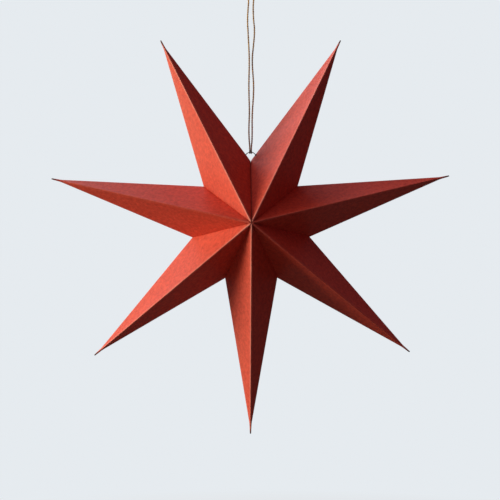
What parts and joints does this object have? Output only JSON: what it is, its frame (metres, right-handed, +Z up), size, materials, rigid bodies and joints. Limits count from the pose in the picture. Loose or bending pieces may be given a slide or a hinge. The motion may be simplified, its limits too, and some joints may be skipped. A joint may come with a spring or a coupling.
{
  "type": "folded paper star",
  "caption": "Hollow folding paper star with long four-sided points glued side by side, tied at the top valley by a wire ring and hung from a doubled twine.",
  "frame": {"origin": "the star's centre, midway between its front and back peaks, where the long folds meet", "axes": "+Z up along the hanging twine, +X to the viewer's right, -Y out of the star's front face"},
  "size_m": [0.5845, 0.1594, 0.6486],
  "materials": {
    "red_paper": "matt",
    "tie_wire": "dull",
    "jute_twine": "rough"
  },
  "bodies": {
    "root": {"point_1": "red_paper", "point_2": "red_paper", "point_3": "red_paper", "point_4": "red_paper", "point_5": "red_paper", "point_6": "red_paper", "point_7": "red_paper", "tie_ring": "tie_wire", "twine_hitch": "jute_twine", "hanging_twine": "jute_twine"}
  },
  "joints": []
}
